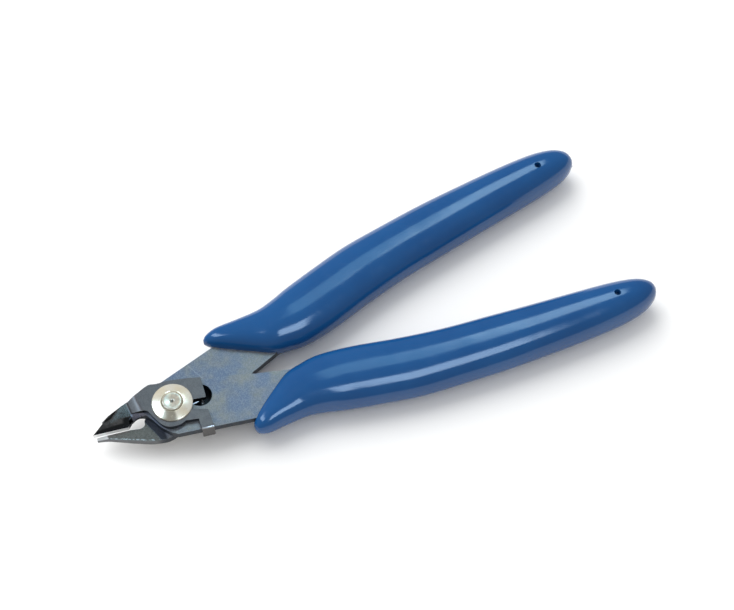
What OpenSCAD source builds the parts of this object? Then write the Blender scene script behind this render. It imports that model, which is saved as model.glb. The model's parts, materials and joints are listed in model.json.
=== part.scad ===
// Flush cutter of the five inch class: two stamped halves cross on one rivet and shear wire
// between bypassing jaws. A wire spring opens them, and each handle wears a soft moulded grip.
//
// Lengths are in millimetres and angles in degrees. The pivot axis is +Z, the handles run
// towards +X and the jaws towards -X. The origin is on the pivot axis, at the flat rear face
// of the rivet. The front half owns the lower handle (-Y) and the upper jaw (+Y).

/* [Halves] */
// Thickness of each stamped half
plate_t = 1.8; // [1.6:0.1:2]
// Running gap beside each sliding face
slide_gap = 0.03; // [0.02:0.01:0.05]
// Distance from the pivot axis to a handle's outer edge, measured across the handles
hub_half_w = 7.15; // [7:0.05:7.4]
// Angle between a handle's outer edge and the long axis
handle_flare = 13; // [12:0.5:13]
// Thickness left at the cutting edge of each jaw
edge_t = 1.15; // [0.9:0.05:1.4]
// Slope of the ground face behind each cutting edge
grind_angle = 16; // [12:1:22]
// Slope of the polished flank near the tip of each jaw
flank_angle = 7; // [4:1:9]
// Depth of the relief ground into the lower jaw's sliding face
relief = 0.06; // [0.03:0.01:0.1]
// Turn of the back half about the pivot at rest, from the mirror image of the front half
rest_turn = -0.25; // [-0.5:0.05:0.5]

/* [Pivot] */
// Diameter of the rivet's shank
shank_d = 4.4; // [4:0.1:4.4]
// Diameter of the rivet's rear head
head_d = 9; // [8:0.5:10]
// Thickness of the rivet's rear head
head_h = 1.2; // [1:0.1:1.4]
// Diameter of the dished washer
washer_d = 8.9; // [8:0.1:9]
// Height of the washer's straight rim
washer_rim_h = 0.4; // [0.3:0.05:0.6]
// Rise of the washer's cone above its rim
washer_rise = 0.55; // [0.4:0.05:0.8]
// How far the peened end of the rivet stands above the washer
button_proud = 0.22; // [0.1:0.02:0.3]

/* [Cover] */
// Thickness of the spring cover
cover_t = 1.15; // [0.9:0.05:1.2]
// Thickness of the tab that folds over the handle's edge
tab_t = 0.65; // [0.5:0.05:0.8]
// Width of the tab
tab_w = 2.7; // [2:0.1:2.8]
// How far the tab's flap hangs below the front half
tab_drop = 0.8; // [0:0.1:1]

/* [Spring] */
// Diameter of the spring wire
wire_d = 0.7; // [0.6:0.05:0.75]
// Radius of the spring's coil, at the middle of the wire
coil_r = 3.3; // [3.2:0.05:3.4]

/* [Grips] */
// Thickness of a grip at its fullest
grip_t = 10.2; // [9.6:0.1:10.6]
// Squareness of a grip's section, where 2 is an ellipse
grip_squareness = 2.25; // [2:0.05:2.8]
// How much farther the horn of the back grip reaches along its handle than the front one's
back_horn = 1.7; // [0:0.1:2]
// How much shorter the far end of the back grip is than the front one's
back_end = 0.4; // [0:0.1:0.8]
// Depth of the flat that the tool rests on, under each grip
rest_depth = 0.08; // [0.05:0.01:0.12]
// Diameter of the pin mark near the end of each grip
mark_d = 1.4; // [1:0.1:1.8]

/* [Hidden] */

$fn = 64;

// The stack along the pivot axis, from the rivet's rear face up
back_z = head_h + slide_gap;
mid_z = back_z + plate_t + slide_gap / 2;
front_z = mid_z + slide_gap / 2;
cover_z = front_z + plate_t;
washer_z = cover_z + cover_t;

// Holes round the rivet's shank
shank_r = shank_d / 2;
seat_clearance = 0.02;
running_clearance = 0.05;

// The window that the end of the spring hooks into: a hole in the front half, a pocket in the back
window_x = 6.3;
window_y = 0.35;
window_r = 2.6;
pocket_floor = 0.5;

// The coil rises from the back half's recess into the front half's
coil_rise = wire_d + 0.2;
recess_depth = wire_d + 0.25;
recess_half_w = wire_d / 2 + 0.15;
leg_y = 0.5;
leg_x = 6.2;
hook_r = 0.7;
hook_y = -2.1;

steel = "#5e6874";
dark_steel = "#4b4f54";
nickel = "#c9c8c2";
spring_steel = "#8d9196";
grip_blue = "#1d4f8c";

// ---------------------------------------------------------------- curves

// A point at t, from 0 to 1, on the smooth curve between b and c
function span_point(a, b, c, d, t) =
    (2 * b + (c - a) * t + (2 * a - 5 * b + 4 * c - d) * t * t
     + (3 * b - a - 3 * c + d) * t * t * t) / 2;

// A smooth curve through the points, with a given number of steps between neighbours
function curve(pts, steps) = [
    for (i = [0 : len(pts) - 2])
        for (k = [0 : steps - 1])
            span_point(pts[max(i - 1, 0)], pts[i], pts[i + 1],
                       pts[min(i + 2, len(pts) - 1)], k / steps),
    pts[len(pts) - 1]
];

// A point moved to the other side of the long axis
function across(p) = [p[0], -p[1]];

// The same outline on the other side of the long axis, still running anticlockwise
function flipped(pts) = [for (i = [len(pts) - 1 : -1 : 0]) across(pts[i])];

function unit(v) = v / norm(v);
function signed_power(v, e) = sign(v) * pow(abs(v), e);

// Faces that join equal rings of points into a closed skin with flat ends
function skin_faces(rings, sides) = concat(
    [[for (k = [0 : sides - 1]) k]],
    [for (i = [0 : rings - 2])
        for (k = [0 : sides - 1])
            [i * sides + (k + 1) % sides, i * sides + k,
             (i + 1) * sides + k, (i + 1) * sides + (k + 1) % sides]],
    [[for (k = [sides - 1 : -1 : 0]) (rings - 1) * sides + k]]
);

module skin(rings) {
    sides = len(rings[0]);
    polyhedron(
        points = [for (ring = rings) each ring],
        faces = skin_faces(len(rings), sides),
        convexity = 6
    );
}

// ---------------------------------------------------------------- stamped halves

function outer_edge(x) = -(hub_half_w + x * tan(handle_flare));

mouth_x = 26;
shoulder_x = -1.6;

// Where the cover's nose ends and the bare jaws begin
nose_x = -8.9;

// The lower handle, from its shoulder round the end of the tang and back over the pivot
handle_side = concat(
    [[shoulder_x, outer_edge(shoulder_x)]],
    curve([[mouth_x, outer_edge(mouth_x)], [40, -16.1], [60, -19.7], [80, -21.6], [96, -22.3],
           [99.6, -21.2], [99.6, -18.2], [96, -16.4], [80, -13.2], [60, -10], [40, -5.7],
           [mouth_x, -3]], 4),
    [[19.6, -0.9]],
    curve([[15.3, 0.85], [10.3, 2.15], [8.3, 3.05], [5.3, 4.55], [1.3, 5.7]], 4)
);

upper_tip = [-18.2, 1.12];
upper_heel = [-10.6, -0.4];

// From the front half's shoulder up its diagonal edge, then along the upper jaw
upper_jaw_side = concat(
    curve([[-1.4, 5.65], [-3.2, 5.95], [-6, 5.5], [-9.6, 4.8], [-13.2, 3.85], [-16.1, 2.95],
           [-17.4, 2.4], [-18.1, 1.75]], 3),
    [upper_tip, upper_heel],
    curve([[-9.4, 0.5], [-8.3, 0.92], [-7.4, 0.92], [-6.5, 0.5]], 3),
    curve([[-6, 0], [-5.45, -0.9], [-4.95, -2.1], [-4.25, -3.8], [-3.3, -5.1], [-2.6, -5.9]], 3)
);

lower_tip = [-17.6, 0.78];
lower_heel = [-10.4, -0.64];

// Lines that the jaws are ground away from, each with the ground side on its left
upper_flank = [[-13.7, 2], [-11.4, 3.9]];
lower_flank = [[-15.5, -0.6], [-15.3, 0.5]];
tip_bevel = [[-17.3, 1.5], [-15.6, 2.7]];
tip_bevel_z = 1.35;
tip_bevel_angle = 45;

// The chamfered wall of the throat, where the upper jaw joins its hub
throat = [-8.2, -0.6, 0.4];
throat_low_r = 1.5;
throat_high_r = 2.4;

// Where the relief in the lower jaw stops, beside the hub
relief_edge = [-6.6, -1, 0];
relief_edge_turn = 18;

// The lower jaw, from the back half's diagonal edge to the underside of its hub
lower_jaw_side = concat(
    curve([[-2.9, 5.75], [-3.8, 4.45], [-4.7, 2.45], [-5.6, 1.2]], 3),
    curve([[-6.35, 0.5], [-6.8, 0], [-7.1, -0.85], [-7.6, -1.2], [-8.4, -1.25]], 3),
    [lower_heel, lower_tip],
    curve([[-17.7, 0.2], [-15.6, -0.5], [-13.8, -1.4], [-11.4, -2.7], [-7.4, -4.9],
           [-5.2, -5.7], [-3.5, -6.05], [-1.4, -5.8]], 3)
);

// The recess that holds the coil and the leg that runs to the window, open on one face
module spring_recess(side) {
    difference() {
        cylinder(r = coil_r + recess_half_w, h = recess_depth);
        translate([0, 0, -1])
            cylinder(r = coil_r - recess_half_w, h = recess_depth + 2);
    }
    translate([coil_r, side * leg_y - recess_half_w, 0])
        cube([leg_x - coil_r, 2 * recess_half_w, recess_depth]);
}

// Everything above a plane that holds a line at height z, and falls at the given angle
// towards the left of that line
module ground_off(line, z, angle) {
    start = line[0];
    run = line[1] - line[0];
    translate([start[0], start[1], z])
        rotate([0, 0, atan2(run[1], run[0])])
            rotate([-angle, 0, 0])
                translate([-4, -8, 0])
                    cube([16, 16, 4]);
}

// The part of a jaw that stands clear of the cover's nose
module bare_jaw() {
    translate([nose_x - 12, -2, 0])
        cube([12, 10, 4]);
}

// Relief ground into the lower jaw's sliding face
module relief_block() {
    difference() {
        translate([-20, -8, plate_t - relief])
            cube([14.5, 9, 1]);
        translate(relief_edge)
            rotate([0, 0, relief_edge_turn])
                translate([0, -8, 0])
                    cube([4, 12, 4]);
    }
}

module front_plate() {
    color(steel)
    translate([0, 0, front_z])
    difference() {
        linear_extrude(plate_t)
            polygon(concat(handle_side, upper_jaw_side));
        translate([0, 0, -1])
            cylinder(d = shank_d + 2 * seat_clearance, h = plate_t + 2);
        translate([window_x, -window_y, -1])
            cylinder(r = window_r, h = plate_t + 2);
        spring_recess(1);
        intersection() {
            ground_off([upper_heel, upper_tip], edge_t, grind_angle);
            bare_jaw();
        }
        ground_off(upper_flank, plate_t, flank_angle);
        ground_off(tip_bevel, tip_bevel_z, tip_bevel_angle);
        translate(throat)
            cylinder(r1 = throat_low_r, r2 = throat_high_r, h = plate_t - throat[2] + 0.01);
    }
}

module back_plate() {
    color(steel)
    rotate([0, 0, rest_turn])
    translate([0, 0, back_z])
    difference() {
        linear_extrude(plate_t)
            polygon(concat(flipped(handle_side), lower_jaw_side));
        translate([0, 0, -1])
            cylinder(d = shank_d + 2 * running_clearance, h = plate_t + 2);
        translate([window_x, window_y, pocket_floor])
            cylinder(r = window_r, h = plate_t);
        translate([0, 0, plate_t])
            mirror([0, 0, 1])
                spring_recess(-1);
        relief_block();
        ground_off(lower_flank, plate_t - relief, flank_angle);
        translate([0, 0, plate_t])
            rotate([180, 0, 0])
                intersection() {
                    ground_off([across(lower_heel), across(lower_tip)], edge_t, grind_angle);
                    bare_jaw();
                }
    }
}

// ---------------------------------------------------------------- spring cover

nose_bend_x = -6.7;
nose_edge_t = 0.1;
tab_x = 3.45;
tab_root = 0.3;
arm_x = 6.3;

// The outline runs on past the nose, where the side view below cuts it off
cover_outline = concat(
    [[nose_x - 0.5, 2.1], [nose_x, 1.95]],
    curve([[-8.2, 1.75], [-6.9, 1.25], [-6, 0.9], [-5.45, 0.3], [-5.2, -0.6], [-4.65, -2.2],
           [-3.9, -3.9], [-2.7, -5], [-1.2, -5.4], [0, -5.4], [0.9, -5.1]], 3),
    [[3.65, -5.9], [tab_x, outer_edge(tab_x)], [arm_x - 0.35, outer_edge(arm_x - 0.35)],
     [arm_x - 0.05, -6.4], [arm_x, -4.6], [3.4, -3.2], [3.9, -1], [6.95, -1.8], [7.2, -1.65]],
    [[7.58, 0.9], [7.9, 3.1]],
    curve([[5.3, 4.15], [1.3, 5.35], [-1.4, 5.8], [-3.2, 6.3], [-6, 5.5], [nose_x, 4.75]], 3),
    [[nose_x - 0.5, 4.6]]
);

// Side view of the cover sheet, whose nose bends down onto the jaw
cover_profile = concat(
    [[9, 0], [9, cover_t]],
    curve([[nose_bend_x + 0.4, cover_t], [nose_bend_x - 0.4, cover_t * 0.9],
           [nose_x + 0.4, cover_t * 0.3], [nose_x, nose_edge_t]], 4),
    [[nose_x, 0]]
);

// Tab seen along the handle's edge: its root in the sheet, a quarter-round fold and a flap
module tab_section() {
    translate([-tab_root, 0]) square([tab_root, cover_t]);
    intersection() {
        translate([0, cover_t - tab_t]) circle(r = tab_t);
        translate([0, cover_t - tab_t]) square(tab_t);
    }
    translate([0, -plate_t - tab_drop]) square([tab_t, plate_t + tab_drop + cover_t - tab_t]);
}

module cover_tab() {
    translate([tab_x, outer_edge(tab_x), cover_z])
        rotate([0, 0, -handle_flare])
            rotate([90, 0, 90])
                linear_extrude(tab_w)
                    mirror([1, 0]) tab_section();
}

module cover_plate() {
    color(dark_steel)
    difference() {
        union() {
            intersection() {
                translate([0, 0, cover_z])
                    linear_extrude(cover_t)
                        polygon(cover_outline);
                translate([0, 10, cover_z])
                    rotate([90, 0, 0])
                        linear_extrude(20)
                            polygon(cover_profile);
            }
            cover_tab();
        }
        translate([0, 0, cover_z - 1])
            cylinder(d = shank_d + 2 * seat_clearance, h = cover_t + 2);
    }
}

// ---------------------------------------------------------------- pivot

module pivot_rivet() {
    edge = 0.3;
    head_r = head_d / 2;
    top_z = washer_z + washer_rim_h + washer_rise + button_proud;
    dish = 0.12;
    color(nickel)
    rotate_extrude()
        polygon([
            [0, 0], [head_r - edge, 0], [head_r, edge], [head_r, head_h], [shank_r, head_h],
            [shank_r, top_z - edge / 2], [shank_r - edge / 2, top_z], [shank_r - 2 * edge, top_z],
            [0.45, top_z - dish], [0.3, top_z - 2 * dish], [0, top_z - 2 * dish]
        ]);
}

module rivet_washer() {
    bore_r = shank_r + 0.1;
    rim_r = washer_d / 2;
    land = 0.25;
    color(nickel)
    translate([0, 0, washer_z])
    rotate_extrude()
        polygon([
            [bore_r, 0], [rim_r, 0], [rim_r, washer_rim_h - 0.1], [rim_r - 0.1, washer_rim_h],
            [bore_r + land, washer_rim_h + washer_rise],
            [bore_r, washer_rim_h + washer_rise - land / 2]
        ]);
}

// ---------------------------------------------------------------- return spring

// Half of the wire's path: from the middle of the coil's back, round to the front window.
// The other half is the same, turned over about the long axis.
half_coil = [
    for (a = [180 : -12 : 12])
        [coil_r * cos(a), coil_r * sin(a), coil_rise / 2 * (180 - a) / 168]
];
half_leg = [
    for (x = [4.2 : 1 : leg_x - hook_r]) [x, leg_y, coil_rise / 2],
    for (a = [90 : -22.5 : 0])
        [leg_x - hook_r + hook_r * cos(a), leg_y - hook_r + hook_r * sin(a), coil_rise / 2],
    [leg_x, hook_y, coil_rise / 2]
];
front_half_path = concat(half_coil, half_leg);
spring_path = concat(
    [for (i = [len(front_half_path) - 1 : -1 : 1]) -front_half_path[i] + [2, 0, 0] * front_half_path[i][0]],
    front_half_path
);

// A ring of points round the wire at one point of its path
function wire_ring(path, i, sides) =
    let (ahead = path[min(i + 1, len(path) - 1)],
         behind = path[max(i - 1, 0)],
         run = unit(ahead - behind),
         side = unit(cross(run, [0, 0, 1])),
         up = cross(side, run))
    [for (k = [0 : sides - 1])
        path[i] + wire_d / 2 * (side * cos(360 * k / sides) + up * sin(360 * k / sides))];

module return_spring() {
    sides = 10;
    color(spring_steel)
    translate([0, 0, mid_z])
        skin([for (i = [0 : len(spring_path) - 1]) wire_ring(spring_path, i, sides)]);
}

// ---------------------------------------------------------------- grips

// Rungs across the lower grip, from the horn beside the mouth to the round end: inner edge
// x and y, outer edge x and y, and how much thinner the grip is there than at its fullest
grip_rungs = [
    [13.95, -11.8, 14.1, -12.6, 8.8],
    [14.25, -11, 14.7, -13.4, 7],
    [15.3, -9.8, 16.9, -14, 4.9],
    [17.6, -8, 21, -13.85, 3.5],
    [21.3, -5.5, 26.2, -13.95, 2.5],
    [25, -3.3, 30.4, -14.95, 1.1],
    [28.6, -2.5, 33.4, -16, 0.5],
    [33.5, -2.2, 36.8, -17, 0.2],
    [41, -3.5, 41.5, -18.25, 0],
    [51, -6.1, 50, -20.3, 0],
    [61, -8.3, 59.5, -21.6, 0],
    [71, -9.9, 70, -22.8, 0],
    [81, -11.5, 80, -23.5, 0],
    [91, -13, 90.5, -24, 0],
    [100, -14.5, 99, -24, 0.2],
    [105.4, -15.9, 104.4, -23.3, 1.6],
    [108.2, -17.5, 107.7, -21.9, 4.6],
    [109.2, -19, 109.1, -20.2, 8.4]
];

// One ring of a grip's skin, between the two ends of a rung
function grip_ring(rung, sides) =
    let (inner = [rung[0], rung[1], 0],
         outer = [rung[2], rung[3], 0],
         across = (outer - inner) / 2,
         up = [0, 0, (grip_t - rung[4]) / 2],
         power = 2 / grip_squareness)
    [for (k = [0 : sides - 1])
        (inner + outer) / 2 + across * signed_power(cos(360 * k / sides), power)
        + up * signed_power(sin(360 * k / sides), power)];

mark_x = 99.3;
mark_y = -18.9;
mark_depth = 1.6;
rest_z = mid_z - grip_t / 2 + rest_depth;

// Everything below the plane that the tool rests on
module bench() {
    translate([0, -40, rest_z - 5])
        cube([120, 50, 5]);
}

// The rungs with the horn drawn out along the handle and the far end drawn in, most at each tip
function stretched(horn, end) = [
    for (i = [0 : len(grip_rungs) - 1])
        grip_rungs[i]
        - (horn * max(1 - i / 4, 0) + end * max(1 - (len(grip_rungs) - 1 - i) / 4, 0)) * [1, 0, 1, 0, 0]
];

// The lower grip, round the tang of the front half; flipping it gives the upper one
module grip_body(tang_z, horn, end) {
    sides = 24;
    difference() {
        translate([0, 0, mid_z])
            skin([for (rung = curve(stretched(horn, end), 2)) grip_ring(rung, sides)]);
        translate([0, 0, tang_z])
            linear_extrude(plate_t)
                polygon(handle_side);
        translate([mark_x, mark_y, mid_z + grip_t / 2 - mark_depth])
            cylinder(d = mark_d, h = mark_depth + 1);
        bench();
    }
}

module front_grip() {
    color(grip_blue)
        grip_body(front_z, 0, 0);
}

module back_grip() {
    color(grip_blue)
        rotate([0, 0, rest_turn])
            mirror([0, 1, 0])
                grip_body(back_z, back_horn, back_end);
}

front_plate();
back_plate();
cover_plate();
pivot_rivet();
rivet_washer();
return_spring();
front_grip();
back_grip();
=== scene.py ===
"""Looks for a small flush cutter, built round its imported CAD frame.

The steel halves and the cover are finer copies of the CAD meshes, with broken edges. The washer
and the rivet are turned again from their profiles, the spring is swept, and the grips are lofted.
Lengths are in millimetres, and MM turns them into Blender's metres. Only the stage, with its floor,
lamps and camera, is set out in metres.
"""

import json
import math

import bmesh
import bpy
from mathutils import Matrix, Vector

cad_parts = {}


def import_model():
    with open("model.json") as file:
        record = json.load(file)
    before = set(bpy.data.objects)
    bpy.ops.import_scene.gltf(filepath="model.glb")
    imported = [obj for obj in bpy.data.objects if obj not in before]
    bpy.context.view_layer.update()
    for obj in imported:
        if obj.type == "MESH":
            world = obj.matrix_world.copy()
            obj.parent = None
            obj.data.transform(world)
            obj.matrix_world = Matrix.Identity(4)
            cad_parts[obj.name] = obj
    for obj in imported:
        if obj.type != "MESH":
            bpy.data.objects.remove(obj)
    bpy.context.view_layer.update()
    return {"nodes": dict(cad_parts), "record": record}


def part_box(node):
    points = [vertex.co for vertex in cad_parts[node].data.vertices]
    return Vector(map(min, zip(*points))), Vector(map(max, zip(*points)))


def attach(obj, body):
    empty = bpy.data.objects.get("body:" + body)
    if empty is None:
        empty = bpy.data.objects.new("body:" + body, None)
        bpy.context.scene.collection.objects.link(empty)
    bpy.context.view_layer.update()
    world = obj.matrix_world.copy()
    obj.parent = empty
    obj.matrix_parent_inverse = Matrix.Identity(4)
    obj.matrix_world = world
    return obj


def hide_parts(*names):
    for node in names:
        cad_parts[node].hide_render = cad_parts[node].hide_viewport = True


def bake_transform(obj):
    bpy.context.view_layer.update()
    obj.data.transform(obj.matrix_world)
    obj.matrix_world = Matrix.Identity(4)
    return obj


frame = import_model()

MM = 0.001
NODES = frame["nodes"]


def node_box(name):
    """Lowest and highest corners of a CAD node, in millimetres."""
    lo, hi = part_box(name)
    return Vector(lo) / MM, Vector(hi) / MM


washer_lo, washer_hi = node_box("rivet_washer")
cover_lo, cover_hi = node_box("cover_plate")
front_lo, front_hi = node_box("front_plate")
back_lo, back_hi = node_box("back_plate")
rivet_hi = node_box("pivot_rivet")[1]
grip_lo = node_box("front_grip")[0]

MID_Z = (back_hi.z + front_lo.z) / 2
NOSE_X = cover_lo.x


# ---------------------------------------------------------------- curves


def catmull_rom(rows, steps):
    """A smooth run of rows through the given ones, with a number of steps between neighbours."""
    made = []
    last = len(rows) - 1
    for i in range(last):
        four = rows[max(i - 1, 0)], rows[i], rows[i + 1], rows[min(i + 2, last)]
        for k in range(steps):
            made.append([between(*values, k / steps) for values in zip(*four)])
    made.append(list(rows[last]))
    return made


def between(a, b, c, d, t):
    """The Catmull-Rom value at t, which runs from 0 at b to 1 at c."""
    straight = 2 * b + (c - a) * t
    curved = (2 * a - 5 * b + 4 * c - d) * t ** 2 + (3 * b - a - 3 * c + d) * t ** 3
    return (straight + curved) / 2


def signed_power(v, e):
    return math.copysign(abs(v) ** e, v)


def angles(count):
    """Evenly spaced angles once round a circle."""
    return [2 * math.pi * k / count for k in range(count)]


# ---------------------------------------------------------------- material nodes


def srgb(r, g, b):
    """A colour given on the usual 0 to 255 scale, as Blender's linear RGBA."""
    def linear(v):
        v = v / 255
        return v / 12.92 if v <= 0.04045 else ((v + 0.055) / 1.055) ** 2.4

    return (linear(r), linear(g), linear(b), 1)


class Paint:
    """One material's node tree. Most methods add nodes and return an output socket.

    A mask is a value that is 1 where something applies and 0 elsewhere. Places are in millimetres.
    """

    def __init__(self, name):
        self.material = bpy.data.materials.new(name)
        self.material.use_nodes = True
        self.tree = self.material.node_tree
        self.tree.nodes.clear()
        self.shader = self.node("ShaderNodeBsdfPrincipled")
        output = self.node("ShaderNodeOutputMaterial")
        self.tree.links.new(self.shader.outputs[0], output.inputs["Surface"])
        coordinates = self.node("ShaderNodeTexCoord")
        self.normal = coordinates.outputs["Normal"]
        in_mm = self.node("ShaderNodeVectorMath", operation="SCALE")
        self.put(coordinates.outputs["Object"], in_mm.inputs[0])
        in_mm.inputs["Scale"].default_value = 1 / MM
        self.place = in_mm.outputs[0]

    def node(self, kind, **settings):
        made = self.tree.nodes.new(kind)
        for key, value in settings.items():
            setattr(made, key, value)
        return made

    def put(self, value, socket):
        """Feeds a socket from another one, or sets it to a plain value."""
        if isinstance(value, bpy.types.NodeSocket):
            self.tree.links.new(value, socket)
        else:
            socket.default_value = value

    def set(self, **inputs):
        """Sets inputs of the Principled shader, with underscores for the spaces in their names."""
        for key, value in inputs.items():
            self.put(value, self.shader.inputs[key.replace("_", " ")])

    def axis(self, which, vector=None):
        """One coordinate of the place, or of another vector."""
        made = self.node("ShaderNodeSeparateXYZ")
        self.put(self.place if vector is None else vector, made.inputs[0])
        return made.outputs[which]

    def math(self, operation, a, b=0.0):
        made = self.node("ShaderNodeMath", operation=operation)
        self.put(a, made.inputs[0])
        self.put(b, made.inputs[1])
        return made.outputs[0]

    def all_of(self, *masks):
        """The product of masks or factors."""
        made = masks[0]
        for mask in masks[1:]:
            made = self.math("MULTIPLY", made, mask)
        return made

    def any_of(self, *masks):
        """The greatest of some masks."""
        made = masks[0]
        for mask in masks[1:]:
            made = self.math("MAXIMUM", made, mask)
        return made

    def span(self, value, low, high, out_low=0.0, out_high=1.0):
        """value, with low to high eased onto out_low to out_high and held outside."""
        made = self.node("ShaderNodeMapRange", interpolation_type="SMOOTHSTEP")
        for amount, socket in zip((value, low, high, out_low, out_high), made.inputs):
            self.put(amount, socket)
        return made.outputs[0]

    def noise(self, size, detail=2.0, rough=0.5, shift=0.0):
        """Soft noise whose features are about size millimetres across."""
        made = self.node("ShaderNodeTexNoise", noise_dimensions="4D")
        self.put(self.place, made.inputs["Vector"])
        made.inputs["W"].default_value = shift
        made.inputs["Scale"].default_value = 1 / size
        made.inputs["Detail"].default_value = detail
        made.inputs["Roughness"].default_value = rough
        return made.outputs["Fac"]

    def mix(self, amount, a, b, kind="MIX"):
        """A colour between a and b."""
        return self.blended(amount, a, b, data_type="RGBA", blend_type=kind)

    def blend_values(self, amount, a, b):
        """A number between a and b."""
        return self.blended(amount, a, b, data_type="FLOAT")

    def blended(self, amount, a, b, **settings):
        """What a Mix node with the given settings makes of a and b."""
        made = self.node("ShaderNodeMix", **settings)
        for value, name in ((amount, "Factor"), (a, "A"), (b, "B")):
            self.put(value, made.inputs[name])
        return made.outputs["Result"]

    def dot(self, direction, shift=0.0, vector=None):
        """How far the place, or another vector, lies along a direction, less a shift."""
        made = self.node("ShaderNodeVectorMath", operation="DOT_PRODUCT")
        self.put(self.place if vector is None else vector, made.inputs[0])
        made.inputs[1].default_value = direction
        return self.math("SUBTRACT", made.outputs["Value"], shift)

    def away_from(self, x, y):
        """Distance from an upright line through x and y."""
        dx = self.dot((1, 0, 0), x)
        dy = self.dot((0, 1, 0), y)
        squares = self.math("ADD", self.math("MULTIPLY", dx, dx), self.math("MULTIPLY", dy, dy))
        return self.math("SQRT", squares)

    def stroke(self, start, end, width, ragged=0.0):
        """A mask of a straight line between two points seen from above."""
        a, b = Vector(start), Vector(end)
        length = (b - a).length
        run = (b - a).normalized()
        side = Vector((-run.y, run.x))
        aside = self.math("ABSOLUTE", self.dot((side.x, side.y, 0), a.dot(side)))
        off = self.math("ADD", aside, ragged)
        along = self.dot((run.x, run.y, 0), a.dot(run))
        fade = 0.4
        within = self.all_of(self.span(along, 0, fade), self.span(along, length, length - fade))
        return self.all_of(self.span(off, width, width / 3), within)

    def edges(self, radius):
        """A mask of convex edges, about 1 on them and 0 on open faces."""
        rounded = self.node("ShaderNodeBevel", samples=4)
        rounded.inputs["Radius"].default_value = radius * MM
        geometry = self.node("ShaderNodeNewGeometry")
        facing = self.node("ShaderNodeVectorMath", operation="DOT_PRODUCT")
        self.put(rounded.outputs[0], facing.inputs[0])
        self.put(geometry.outputs["Normal"], facing.inputs[1])
        return self.span(facing.outputs["Value"], 0.97, 0.8)

    def bump(self, height, depth, onto=None):
        """A normal from a 0 to 1 height that stands depth millimetres tall."""
        made = self.node("ShaderNodeBump")
        made.inputs["Strength"].default_value = 1.0
        made.inputs["Distance"].default_value = depth * MM
        self.put(height, made.inputs["Height"])
        if onto is not None:
            self.put(onto, made.inputs["Normal"])
        return made.outputs[0]


# ---------------------------------------------------------------- blued steel

# The spring's window, and where along the jaws their tips, cutting walls, pale lower walls and
# the hub's relief start, in millimetres from the pivot
WINDOW_X = 6.3
WINDOW_R = 2.9
TIP_X = -15.2
CUTTING_X = -10.2
LOWER_WALLS_X = -4.5
RELIEF_X = -3.5

# The crease between the lower jaw and the hub's relief: the direction across it, and how far
# along that direction it lies
CREASE_ACROSS = (1, 0.322, 0)
CREASE_AT = -6.95

# A faint scribed line on the back half, and a painted glint along a burr on the lower jaw
SCRIBE_START, SCRIBE_END = (6.8, 8.6), (8.7, 4.1)
BURR_GLINT_START, BURR_GLINT_END = (TIP_X, -0.5), (-6.4, -5.15)


def on_front_half(p):
    """A mask of the half above the plane where the halves meet."""
    return p.span(p.axis(2), MID_Z, MID_Z + 0.02)


def on_back_half(p):
    """A mask of the half below the plane where the halves meet."""
    return p.span(p.axis(2), MID_Z, MID_Z - 0.02)


def off_rear_face(p):
    """A mask that leaves out the back half's rear face."""
    return p.span(p.axis(2), back_lo.z + 0.3, back_lo.z + 0.4)


def oxide_skin(p, blotch, speckle):
    """The blued faces, with the scribed line, and painted shade inside the spring's window."""
    drift = p.span(p.noise(7, 3, 0.6, 1.0), 0.38, 0.62)
    skin = p.mix(drift, srgb(113, 119, 136), srgb(143, 134, 124))
    skin = p.mix(p.span(blotch, 0.3, 0.7, 0.0, 0.45), skin, srgb(100, 103, 124))
    skin = p.mix(p.span(speckle, 0.4, 0.68, 0.0, 0.5), skin, srgb(168, 162, 164))
    line = p.stroke(SCRIBE_START, SCRIBE_END, 0.12)
    skin = p.mix(p.all_of(line, on_back_half(p), off_rear_face(p), 0.25), skin, srgb(205, 205, 200))
    # Painted shade: the inside of the spring's window is darkened.
    by_window = p.span(p.away_from(WINDOW_X, 0), WINDOW_R + 0.1, WINDOW_R)
    inside = p.span(p.axis(2), front_hi.z - 0.05, front_hi.z - 0.3)
    return p.mix(p.all_of(by_window, inside, off_rear_face(p)), skin, srgb(50, 51, 53))


def painted_shade_walls(p, blotch):
    """The stampings' side walls, painted darker than the faces as painted shade, and paler round the lower
    jaw.
    """
    # Painted shade: the walls are darker than the blued faces.
    wall = p.mix(blotch, srgb(48, 50, 54), srgb(80, 84, 90))
    on_jaw = p.all_of(p.span(p.axis(0), LOWER_WALLS_X, LOWER_WALLS_X - 2), on_back_half(p))
    return p.mix(on_jaw, wall, p.mix(blotch, srgb(88, 90, 92), srgb(124, 126, 128)))


def upper_jaw(p, blotch):
    """The upper jaw's polished faces: a grey flank, and the grind down to the edge, painted dark where it
    tilts more as a painted dark reflection.
    """
    flank = p.mix(p.span(blotch, 0.4, 0.6), srgb(98, 98, 98), srgb(128, 127, 126))
    # Painted reflection: faces tilted more than the flank are painted dark.
    return p.mix(p.span(p.axis(2, p.normal), 0.985, 0.975), flank, srgb(52, 53, 54))


def lower_jaw(p, colour, back_face, speckle):
    """colour, with dull ground steel on the lower jaw and shade in the hub's relief behind it."""
    past_crease = p.dot(CREASE_ACROSS, CREASE_AT)
    dull = p.all_of(back_face, p.span(past_crease, 0.05, -0.05))
    colour = p.mix(dull, colour, p.mix(p.span(speckle, 0.35, 0.65), srgb(99, 93, 87), srgb(123, 114, 106)))
    in_relief = p.span(p.axis(0), RELIEF_X, RELIEF_X - 0.7)
    shaded = p.all_of(back_face, p.span(past_crease, -0.05, 0.05), in_relief)
    return p.mix(shaded, colour, srgb(48, 46, 49))


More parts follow.
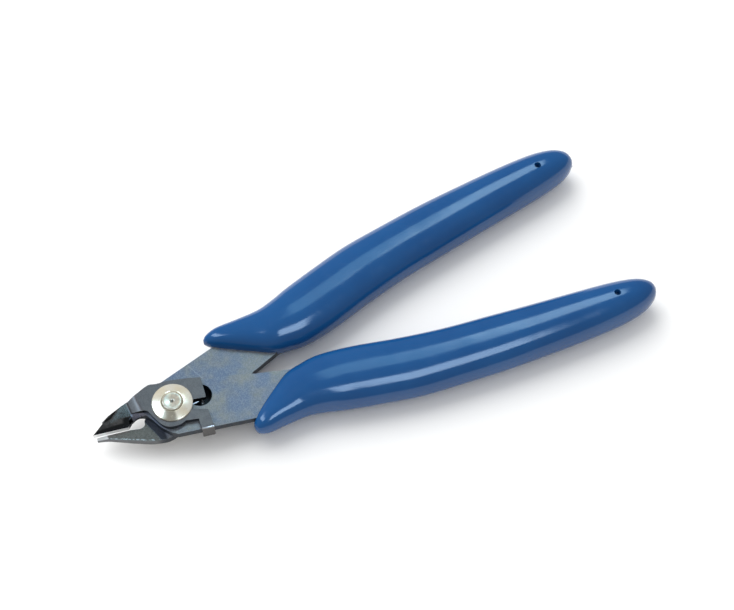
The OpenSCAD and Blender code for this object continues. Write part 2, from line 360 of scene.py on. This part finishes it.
def cutting_walls(p, is_wall):
    """A mask of the walls that the two jaws turn towards each other."""
    x, ny = p.axis(0), p.axis(1, p.normal)
    facing_down = p.all_of(on_front_half(p), p.span(ny, 0, -0.2))
    facing_up = p.all_of(on_back_half(p), p.span(ny, 0, 0.2))
    return p.all_of(is_wall, p.math("ADD", facing_down, facing_up), p.span(x, CUTTING_X, CUTTING_X - 0.4))


def blued_steel():
    """Oxide-blued stamped steel, with a polished upper jaw painted dark on its grind as painted
    reflection, and a dull ground lower one.
    """
    p = Paint("blued_steel")
    x, nz = p.axis(0), p.axis(2, p.normal)
    blotch = p.noise(1.3, 4, 0.65, 2.0)
    speckle = p.noise(0.22, 2, 0.6, 3.0)
    is_wall = p.span(p.math("ABSOLUTE", nz), 0.45, 0.2)
    is_face = p.math("SUBTRACT", 1.0, is_wall)
    back_face = p.all_of(on_back_half(p), is_face)
    polished = p.all_of(on_front_half(p), is_face, p.span(x, NOSE_X - 0.1, NOSE_X - 0.3))
    colour = p.mix(is_wall, oxide_skin(p, blotch, speckle), painted_shade_walls(p, blotch))
    colour = p.mix(polished, colour, upper_jaw(p, blotch))
    colour = lower_jaw(p, colour, back_face, speckle)
    # Bare metal at both tips and where the jaws meet, lightened to near white as a painted highlight
    upper_tip = p.all_of(on_front_half(p), p.span(x, TIP_X, TIP_X - 0.3), p.span(nz, 0.9, 0.8))
    lower_tip = p.all_of(back_face, p.span(x, TIP_X, TIP_X - 0.4))
    bright = p.any_of(upper_tip, lower_tip, cutting_walls(p, is_wall))
    colour = p.mix(bright, colour, p.mix(lower_tip, srgb(236, 236, 234), srgb(208, 210, 210)))
    worn = p.all_of(p.edges(0.14), p.span(blotch, 0.35, 0.6), 0.5)
    colour = p.mix(worn, colour, srgb(170, 175, 180))
    # Painted highlight: a ragged bright line along the lower jaw's burr, which is not modelled.
    ragged = p.all_of(p.math("SUBTRACT", p.noise(0.5, 3, 0.7, 4.0), 0.46), 1.4)
    burr_glint = p.all_of(back_face, p.stroke(BURR_GLINT_START, BURR_GLINT_END, 0.16, ragged))
    colour = p.mix(burr_glint, colour, srgb(190, 190, 188))
    rough = p.span(speckle, 0.2, 0.8, 0.34, 0.5)
    rough = p.blend_values(polished, rough, 0.17)
    rough = p.blend_values(bright, rough, 0.3)
    metal = p.blend_values(bright, 1.0, 0.35)
    grain = p.bump(blotch, 0.01, p.bump(speckle, 0.012))
    p.set(Base_Color=colour, Metallic=metal, Roughness=rough, Normal=grain)
    return p.material


# ---------------------------------------------------------------- other materials

# The front handle's lower edge, where the cover's tab folds down: its slope in degrees, and how
# far it passes from the pivot in millimetres
HANDLE_FLARE = 13
HANDLE_EDGE = 6.97


def dark_steel():
    """Darker oxide on the spring cover, with painted shade on its nose and walls, a lighter flap on its
    tab, and a painted highlight on the tab's fold.
    """
    p = Paint("dark_steel")
    nz = p.axis(2, p.normal)
    blotch = p.noise(1.6, 4, 0.6, 5.0)
    speckle = p.noise(0.3, 2, 0.6, 6.0)
    face = p.mix(p.span(blotch, 0.3, 0.7), srgb(102, 95, 95), srgb(116, 107, 105))
    face = p.mix(p.span(speckle, 0.35, 0.7, 0, 0.4), face, srgb(140, 130, 128))
    # Painted shade: the nose, which slopes, is darkened
    face = p.mix(p.span(nz, 0.985, 0.96), face, srgb(222, 231, 232), "MULTIPLY")
    # Painted shade: the cover's side walls are near black.
    colour = p.mix(p.span(p.math("ABSOLUTE", nz), 0.5, 0.2), face, srgb(34, 35, 37))
    slope = math.radians(HANDLE_FLARE)
    outward = (-math.sin(slope), -math.cos(slope), 0)
    past_edge = p.dot(outward, HANDLE_EDGE)
    # The outward face of the tab's flap is lighter.
    flap = p.all_of(p.span(past_edge, 0.35, 0.5), p.span(p.dot(outward, 0, p.normal), 0.4, 0.6))
    colour = p.mix(flap, colour, srgb(98, 96, 95))
    # Painted highlight: a bright band along the top of the tab's fold.
    fold_highlight = p.all_of(p.span(past_edge, 0.2, 0.3), p.span(past_edge, 0.62, 0.52))
    near_top = p.span(p.axis(2), cover_hi.z - 0.34, cover_hi.z - 0.24)
    colour = p.mix(p.all_of(fold_highlight, near_top), colour, srgb(214, 216, 218))
    worn = p.all_of(p.edges(0.12), p.span(blotch, 0.35, 0.6), 0.45)
    colour = p.mix(worn, colour, srgb(165, 172, 178))
    rough = p.span(speckle, 0.2, 0.8, 0.3, 0.46)
    p.set(Base_Color=colour, Metallic=1.0, Roughness=rough, Normal=p.bump(speckle, 0.01))
    return p.material


def turned_nickel():
    """Cream nickel plate over faint concentric turning marks."""
    p = Paint("turned_nickel")
    radius = p.away_from(0, 0)
    mottle = p.noise(0.7, 3, 0.6, 8.0)
    tint = p.span(p.noise(3.5, 2, 0.5, 9.0), 0.35, 0.65)
    colour = p.mix(tint, srgb(222, 214, 192), srgb(224, 222, 210))
    colour = p.mix(p.span(mottle, 0.5, 0.75, 0, 0.35), colour, srgb(168, 162, 146))
    # The riveted end is duller than the washer round it, with a dark dimple
    above = p.span(p.axis(2), washer_lo.z, washer_lo.z + 0.1)
    riveted = p.all_of(above, p.span(radius, 2.25, 2.15), p.span(mottle, 0.35, 0.6, 0.15, 0.55))
    colour = p.mix(riveted, colour, srgb(146, 147, 144))
    colour = p.mix(p.all_of(above, p.span(radius, 0.42, 0.25)), colour, srgb(96, 94, 88))
    # Painted shade: one sector of the washer, towards -Y, is darkened in patches
    turn = p.math("DIVIDE", p.dot((-0.53, -0.848, 0)), p.math("MAXIMUM", radius, 0.1))
    sector = p.all_of(above, p.span(turn, 0.87, 0.95), p.span(radius, 2.3, 2.5))
    patches = p.span(mottle, 0.3, 0.5, 0.6, 1)
    colour = p.mix(p.all_of(sector, patches), colour, srgb(150, 146, 132))
    pitch = 0.14
    marks = p.math("SINE", p.all_of(radius, 2 * math.pi / pitch))
    tangent = p.node("ShaderNodeTangent", direction_type="RADIAL", axis="Z")
    p.set(
        Base_Color=colour, Metallic=0.5, Roughness=p.span(mottle, 0.2, 0.8, 0.16, 0.24),
        Anisotropic=0.2, Tangent=tangent.outputs[0],
        Normal=p.bump(mottle, 0.002, p.bump(marks, 0.0005)),
    )
    return p.material


def spring_wire():
    """Drawn wire, mottled from bright to dull."""
    p = Paint("spring_wire")
    streak = p.noise(0.12, 3, 0.5, 11.0)
    p.set(
        Base_Color=p.mix(streak, srgb(150, 152, 156), srgb(205, 207, 210)), Metallic=1.0,
        Roughness=p.span(streak, 0.2, 0.8, 0.18, 0.32), Normal=p.bump(streak, 0.004),
    )
    return p.material


def blue_vinyl():
    """Glossy dipped vinyl with slow ripples, a fine orange peel and a few rubbed places."""
    p = Paint("blue_vinyl")
    cloud = p.noise(14, 3, 0.5, 14.0)
    rub = p.noise(2.2, 4, 0.6, 15.0)
    colour = p.mix(p.span(cloud, 0.3, 0.7), srgb(17, 69, 122), srgb(20, 75, 129))
    rough = p.span(rub, 0.35, 0.75, 0.11, 0.18)
    ripple = p.bump(p.noise(7, 1, 0.3, 16.0), 0.07)
    peel = p.bump(p.noise(1.1, 1, 0.3, 17.0), 0.0015, ripple)
    p.set(Base_Color=colour, Roughness=rough, IOR=1.5, Normal=peel)
    return p.material


def dark_recess():
    """The shaded inside of a moulding mark."""
    p = Paint("recess")
    colour = p.mix(p.noise(0.4, 2, 0.5, 19.0), srgb(8, 18, 34), srgb(14, 28, 50))
    p.set(Base_Color=colour, Roughness=0.6)
    return p.material


STEEL = blued_steel()
COVER_STEEL = dark_steel()
NICKEL = turned_nickel()
WIRE = spring_wire()
VINYL = blue_vinyl()
RECESS = dark_recess()


# ---------------------------------------------------------------- mesh helpers


def add_object(name, mesh, *materials):
    made = bpy.data.objects.new(name, mesh)
    bpy.context.scene.collection.objects.link(made)
    for material in materials:
        mesh.materials.append(material)
    return made


def mesh_of(name, shape):
    """A mesh made from a finished bmesh, which is freed."""
    mesh = bpy.data.meshes.new(name)
    shape.to_mesh(mesh)
    shape.free()
    return mesh


def cad_shape(node):
    """A bmesh copy of a CAD node, with its loose triangles joined up."""
    shape = bmesh.new()
    shape.from_mesh(NODES[node].data)
    bmesh.ops.remove_doubles(shape, verts=shape.verts, dist=0.0005 * MM)
    return shape


def mesh_from_rings(name, rings):
    """A smooth skin over equal rings of points in millimetres, closed by a flat face at each end."""
    sides = len(rings[0])
    last = len(rings) - 1
    points = [Vector(p) * MM for ring in rings for p in ring]
    faces = []
    for i in range(last):
        j = i + 1
        for k in range(sides):
            n = (k + 1) % sides
            faces.append((i * sides + n, i * sides + k, j * sides + k, j * sides + n))
    faces.append(tuple(range(sides)))
    faces.append(tuple(last * sides + k for k in reversed(range(sides))))
    mesh = bpy.data.meshes.new(name)
    mesh.from_pydata(points, [], faces)
    mesh.update()
    for face in mesh.polygons:
        face.use_smooth = True
    return mesh


def boolean(target, cutter, kind="DIFFERENCE"):
    """Applies an exact boolean to target's mesh and throws the cutter away."""
    step = target.modifiers.new("cut", "BOOLEAN")
    step.operation = kind
    step.solver = "EXACT"
    step.object = cutter
    graph = bpy.context.evaluated_depsgraph_get()
    mesh = bpy.data.meshes.new_from_object(target.evaluated_get(graph), depsgraph=graph)
    target.modifiers.remove(step)
    target.data = mesh
    bpy.data.objects.remove(cutter)


def sharpen(mesh, degrees):
    """Smooth shading that breaks at edges steeper than the given angle."""
    shape = bmesh.new()
    shape.from_mesh(mesh)
    for face in shape.faces:
        face.smooth = True
    for edge in shape.edges:
        edge.smooth = edge.calc_face_angle(math.pi) < math.radians(degrees)
    shape.to_mesh(mesh)
    shape.free()


def body_of_node(node):
    for body, members in frame["record"]["behaviour"]["bodies"].items():
        if node in members:
            return body
    raise KeyError(node)


def stand_in(made, node):
    """Shows a piece in place of a CAD node, on the same body."""
    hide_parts(node)
    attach(made, body_of_node(node))


# ---------------------------------------------------------------- pressed steel

# The halves' edges stay keen on the jaws, up to just behind the cover's nose
KEEN_X = NOSE_X + 3


def is_corner(edge, keen_x):
    """True on a sharp edge that is to be broken, and False where it stays keen."""
    if not edge.is_manifold or edge.calc_face_angle(0) < math.radians(35):
        return False
    return min(v.co.x for v in edge.verts) >= keen_x * MM


def pressed(node, name, material, edge, keen_x=-math.inf):
    """A finer copy of a CAD plate: flat faces cleaned, and corners broken by the edge size."""
    shape = cad_shape(node)
    bmesh.ops.dissolve_limit(shape, angle_limit=math.radians(1), verts=shape.verts, edges=shape.edges)
    bmesh.ops.bevel(
        shape, geom=[e for e in shape.edges if is_corner(e, keen_x)], offset=edge * MM,
        offset_type="OFFSET", segments=2, profile=0.5, affect="EDGES", clamp_overlap=True,
    )
    mesh = mesh_of(name, shape)
    sharpen(mesh, 50)
    made = add_object(name, mesh, material)
    flat_faces = made.modifiers.new("flat_faces", "WEIGHTED_NORMAL")
    flat_faces.keep_sharp = True
    flat_faces.weight = 100
    stand_in(made, node)


pressed("front_plate", "front_half_steel", STEEL, 0.09, KEEN_X)
pressed("back_plate", "back_half_steel", STEEL, 0.09, KEEN_X)
pressed("cover_plate", "spring_cover", COVER_STEEL, 0.07)


# ---------------------------------------------------------------- turned pieces

LATHE_SIDES = 128


def turned(node, name, profile, softness, closed=False):
    """A lathe piece about the pivot axis, from radius and height pairs with softened corners."""
    shape = bmesh.new()
    rings = [lathe_ring(shape, r * MM, z * MM) for r, z in soften(profile, softness, closed)]
    pairs = list(zip(rings, rings[1:]))
    if closed:
        pairs.append((rings[-1], rings[0]))
    for a, b in pairs:
        for k in range(LATHE_SIDES):
            n = (k + 1) % LATHE_SIDES
            corners = [a[k % len(a)], a[n % len(a)], b[n % len(b)], b[k % len(b)]]
            shape.faces.new(list(dict.fromkeys(corners)))
    bmesh.ops.recalc_face_normals(shape, faces=shape.faces)
    mesh = mesh_of(name, shape)
    sharpen(mesh, 40)
    stand_in(add_object(name, mesh, NICKEL), node)


def lathe_ring(shape, r, z):
    """A ring of new vertices, or a single one on the axis."""
    if r == 0:
        return [shape.verts.new((0, 0, z))]
    return [shape.verts.new((r * math.cos(a), r * math.sin(a), z)) for a in angles(LATHE_SIDES)]


def soften(profile, size, closed):
    """The profile with each corner cut by a short five-point arc."""
    rows = []
    count = len(profile)
    for i in range(count):
        here = Vector(profile[i])
        if not closed and i in (0, count - 1):
            rows.append(tuple(here))
            continue
        before, after = Vector(profile[i - 1]), Vector(profile[(i + 1) % count])
        cut = min(size, (before - here).length / 2.5, (after - here).length / 2.5)
        start = here + (before - here).normalized() * cut
        end = here + (after - here).normalized() * cut
        for t in (0, 0.25, 0.5, 0.75, 1):
            rows.append(tuple(start * (1 - t) ** 2 + here * 2 * t * (1 - t) + end * t * t))
    return rows


SHANK_R = 2.2
HEAD_R = rivet_hi.x
HEAD_H = back_lo.z - 0.03
TOP_Z = rivet_hi.z
RIM_R = washer_hi.x
RIM_Z = washer_lo.z + 0.4
CONE_Z = washer_hi.z
BORE_R = SHANK_R + 0.1

turned("pivot_rivet", "rivet", [
    (0, 0), (HEAD_R - 0.3, 0), (HEAD_R, 0.3), (HEAD_R, HEAD_H), (SHANK_R, HEAD_H),
    (SHANK_R, TOP_Z - 0.16), (SHANK_R - 0.2, TOP_Z), (SHANK_R - 0.62, TOP_Z),
    (0.5, TOP_Z - 0.12), (0.34, TOP_Z - 0.24), (0, TOP_Z - 0.26),
], 0.12)
turned("rivet_washer", "washer", [
    (BORE_R, washer_lo.z), (RIM_R, washer_lo.z), (RIM_R, RIM_Z - 0.1), (RIM_R - 0.1, RIM_Z),
    (BORE_R + 0.25, CONE_Z), (BORE_R, CONE_Z - 0.12),
], 0.08, closed=True)


# ---------------------------------------------------------------- return spring

WIRE_R = 0.35
WIRE_SIDES = 20
COIL_R = 3.3
COIL_RISE = 2 * WIRE_R + 0.2
COIL_SWEEP, COIL_STEP = 168, 6
LEG_X, LEG_Y, HOOK_R, HOOK_Y = 6.2, 0.5, 0.7, -2.1


def half_spring():
    """The wire's middle line from the back of the coil to the hook in the front half's window."""
    top = COIL_RISE / 2
    coil = []
    for turned_by in range(0, COIL_SWEEP + 1, COIL_STEP):
        a = math.radians(180 - turned_by)
        coil.append((COIL_R * math.cos(a), COIL_R * math.sin(a), top * turned_by / COIL_SWEEP))
    leg = [(x, LEG_Y, top) for x in (4.0, 4.7, 5.2, LEG_X - HOOK_R)]
    bend = [
        (LEG_X - HOOK_R + HOOK_R * math.sin(a), LEG_Y - HOOK_R + HOOK_R * math.cos(a), top)
        for a in [math.radians(15 * i) for i in range(1, 7)]
    ]
    hook = [(LEG_X, y, top) for y in (-0.9, -1.5, HOOK_Y)]
    return coil + leg + bend + hook


def spring():
    """The whole wire: two equal halves, turned over about the X axis from each other."""
    half = half_spring()
    path = [Vector((x, -y, -z)) for x, y, z in reversed(half[1:])] + [Vector(p) for p in half]
    last = len(path) - 1
    rings = []
    for i, p in enumerate(path):
        middle = p + Vector((0, 0, MID_Z))
        run = (path[min(i + 1, last)] - path[max(i - 1, 0)]).normalized()
        side = run.cross(Vector((0, 0, 1))).normalized()
        up = side.cross(run)
        r = WIRE_R * (0.8 if i in (0, last) else 1)
        rings.append([middle + r * (side * math.cos(a) + up * math.sin(a)) for a in angles(WIRE_SIDES)])
    made = add_object("wire_spring", mesh_from_rings("wire_spring", rings), WIRE)
    sharpen(made.data, 50)
    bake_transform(made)
    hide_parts("return_spring")


spring()


# ---------------------------------------------------------------- grips

# Rungs across the lower grip, from the horn to the round end: inner edge x and y, outer edge
# x and y, and how much thinner the grip is there than at its fullest.
GRIP_RUNGS = [
    (13.95, -11.8, 14.1, -12.6, 8.8),
    (14.25, -11, 14.7, -13.4, 7),
    (15.3, -9.8, 16.9, -14, 4.9),
    (17.6, -8, 21, -13.85, 3.5),
    (21.3, -5.5, 26.2, -13.95, 2.5),
    (25, -3.3, 30.4, -14.95, 1.1),
    (28.6, -2.5, 33.4, -16, 0.5),
    (33.5, -2.2, 36.8, -17, 0.2),
    (41, -3.5, 41.5, -18.25, 0),
    (51, -6.1, 50, -20.3, 0),
    (61, -8.3, 59.5, -21.6, 0),
    (71, -9.9, 70, -22.8, 0),
    (81, -11.5, 80, -23.5, 0),
    (91, -13, 90.5, -24, 0),
    (100, -14.5, 99, -24, 0.2),
    (105.4, -15.9, 104.4, -23.3, 1.6),
    (108.2, -17.5, 107.7, -21.9, 4.6),
    (109.2, -19, 109.1, -20.2, 8.4),
]
GRIP_T = 10.2
GRIP_POWER = 2 / 2.25
GRIP_SIDES = 72
GRIP_STEPS = 6
# The upper grip mirrors the lower one, with a longer horn and a slightly shorter far end
BACK_HORN, BACK_END = 1.7, 0.4
REST_TURN = math.radians(-0.25)
MIRRORED = Matrix.Rotation(REST_TURN, 4, "Z") @ Matrix.Diagonal((1, -1, 1, 1))
# The moulding mark near each grip's end, and the stub at the tip of the upper one
MARK = Vector((99.3, -18.9, 0))
MARK_R, MARK_DEPTH, MARK_SIDES = 0.7, 1.6, 32
NUB_X, NUB_Y, NUB_R = 107.95, 17.6, 0.5


def grip_rings(horn, end):
    """Rings round one grip, its horn drawn out along the handle and its far end drawn in."""
    rungs = []
    last = len(GRIP_RUNGS) - 1
    for i, (ix, iy, ox, oy, thinner) in enumerate(GRIP_RUNGS):
        shift = horn * max(1 - i / 4, 0) + end * max(1 - (last - i) / 4, 0)
        rungs.append([ix - shift, iy, ox - shift, oy, thinner])
    return [grip_ring(*rung) for rung in catmull_rom(rungs, GRIP_STEPS)]


def grip_ring(ix, iy, ox, oy, thinner):
    """A superellipse across the grip, flattened where the grip rests."""
    inner, outer = Vector((ix, iy, MID_Z)), Vector((ox, oy, MID_Z))
    middle, across = (inner + outer) / 2, (outer - inner) / 2
    up = Vector((0, 0, (GRIP_T - thinner) / 2))
    ring = []
    for a in angles(GRIP_SIDES):
        sideways = across * signed_power(math.cos(a), GRIP_POWER)
        p = middle + sideways + up * signed_power(math.sin(a), GRIP_POWER)
        p.z = max(p.z, grip_lo.z)
        ring.append(p)
    return ring


def pin_mark():
    """A slightly tapered plug that leaves the moulding mark."""
    top = MID_Z + GRIP_T / 2
    rings = []
    for widening, z in ((0.8, top - MARK_DEPTH), (1, top - 0.3), (1.15, top), (1.2, top + 1)):
        r = MARK_R * widening
        rings.append([MARK + Vector((r * math.cos(a), -r * math.sin(a), z)) for a in angles(MARK_SIDES)])
    return add_object("mark_cutter", mesh_from_rings("mark_cutter", rings), RECESS)


def socket_cutter(plate):
    """A closed copy of a CAD plate, to cut its socket with."""
    return add_object("cutter", mesh_of("cutter", cad_shape(plate)), VINYL)


def nub():
    """The small stub that the mould's feed leaves at the end of the upper grip."""
    shape = bmesh.new()
    bmesh.ops.create_uvsphere(shape, u_segments=20, v_segments=12, radius=NUB_R * MM)
    bmesh.ops.translate(shape, verts=shape.verts, vec=(NUB_X * MM, NUB_Y * MM, MID_Z * MM))
    return add_object("nub", mesh_of("nub", shape), VINYL)


def lower_grip():
    made = add_object("lower_grip", mesh_from_rings("lower_grip", grip_rings(0, 0)), VINYL)
    boolean(made, pin_mark())
    finish_grip(made, "front_grip", "front_plate")


def upper_grip():
    rings = grip_rings(BACK_HORN, BACK_END)
    made = add_object("upper_grip", mesh_from_rings("upper_grip", rings), VINYL)
    boolean(made, pin_mark())
    made.data.transform(MIRRORED)
    made.data.flip_normals()
    boolean(made, nub(), "UNION")
    finish_grip(made, "back_grip", "back_plate")


def finish_grip(made, node, plate):
    """Cuts the socket for the plate's tang and shows the grip in place of its CAD node."""
    boolean(made, socket_cutter(plate))
    sharpen(made.data, 45)
    stand_in(made, node)


lower_grip()
upper_grip()


# ---------------------------------------------------------------- stage

FLOOR_REACH = 4
LAMP_DISTANCE = 1.5
LAMP_TARGET = Vector((0.049, 0.0, 0.003))


def floor():
    """A plain pale floor under the grips, reaching some metres each way."""
    p = Paint("pale_floor")
    colour = p.mix(p.noise(60, 2, 0.5, 21.0), srgb(240, 240, 240), srgb(244, 244, 243))
    p.set(Base_Color=colour, Roughness=0.7)
    shape = bmesh.new()
    bmesh.ops.create_grid(shape, x_segments=2, y_segments=2, size=FLOOR_REACH)
    bmesh.ops.translate(shape, verts=shape.verts, vec=(0, 0, grip_lo.z * MM))
    add_object("floor", mesh_of("floor", shape), p.material)


def softbox(name, sideways, back, size, radiance, tint=None):
    """An area light that faces the cutter, leaning from the zenith towards +X and +Y by degrees.

    Its size is its width and depth in metres. A tinted one is only seen in reflections, and an
    untinted one only lights.
    """
    width, depth = size
    lean, tilt = math.radians(sideways), math.radians(back)
    out = Vector((math.sin(lean), math.cos(lean) * math.sin(tilt), math.cos(lean) * math.cos(tilt)))
    along = (Vector((1, 0, 0)) - out * out.x).normalized()
    lamp = bpy.data.lights.new(name, "AREA")
    lamp.shape = "RECTANGLE"
    lamp.size, lamp.size_y = width, depth
    lamp.energy = radiance * math.pi * width * depth
    if tint is not None:
        lamp.color = tint
    made = bpy.data.objects.new(name, lamp)
    bpy.context.scene.collection.objects.link(made)
    turn = Matrix((along, out.cross(along), out)).transposed().to_4x4()
    made.matrix_world = Matrix.Translation(LAMP_TARGET + out * LAMP_DISTANCE) @ turn
    made.visible_glossy = tint is not None
    made.visible_diffuse = tint is None


def world(diffuse, gloss):
    """Even pale surroundings, dimmer where they are only seen in reflections."""
    made = bpy.data.worlds.new("studio")
    made.use_nodes = True
    nodes, links = made.node_tree.nodes, made.node_tree.links
    ray = nodes.new("ShaderNodeLightPath")
    pick = nodes.new("ShaderNodeMix")
    pick.inputs["A"].default_value = diffuse
    pick.inputs["B"].default_value = gloss
    links.new(ray.outputs["Is Glossy Ray"], pick.inputs["Factor"])
    background = nodes["Background"]
    background.inputs["Color"].default_value = (1, 1, 1, 1)
    links.new(pick.outputs["Result"], background.inputs["Strength"])
    bpy.context.scene.world = made


def camera():
    """The viewing angle of the reference: from the jaws' side, well above the bench."""
    azimuth, elevation, distance = math.radians(-25.893), math.radians(60.851), 0.42287
    target = Vector((0.04907, 0.00491, 0.003045))
    level = math.cos(elevation)
    back = Vector((math.sin(azimuth) * level, -math.cos(azimuth) * level, math.sin(elevation)))
    lens = bpy.data.cameras.new("camera")
    lens.sensor_width = 36
    lens.lens = 92.68
    lens.clip_start = 0.01
    made = bpy.data.objects.new("camera", lens)
    bpy.context.scene.collection.objects.link(made)
    made.location = target + back * distance
    made.rotation_mode = "QUATERNION"
    made.rotation_quaternion = (-back).to_track_quat("-Z", "Y")
    bpy.context.scene.camera = made


floor()
softbox("near_box", sideways=4.5, back=-26, size=(0.5, 0.66), radiance=8.5, tint=(0.58, 0.79, 1))
softbox("far_box", sideways=23, back=25, size=(0.36, 0.55), radiance=5.8, tint=(0.57, 0.85, 1))
softbox("far_edge", sideways=10.5, back=25, size=(0.34, 0.5), radiance=2.2, tint=(0.4, 0.8, 1))
softbox("left_box", sideways=-31, back=23, size=(0.46, 1.12), radiance=7, tint=(0.62, 0.82, 1))
softbox("key", sideways=-8, back=42, size=(1.6, 1.6), radiance=3.1)
world(diffuse=0.78, gloss=0.27)
camera()
bpy.context.scene.view_settings.view_transform = "Standard"
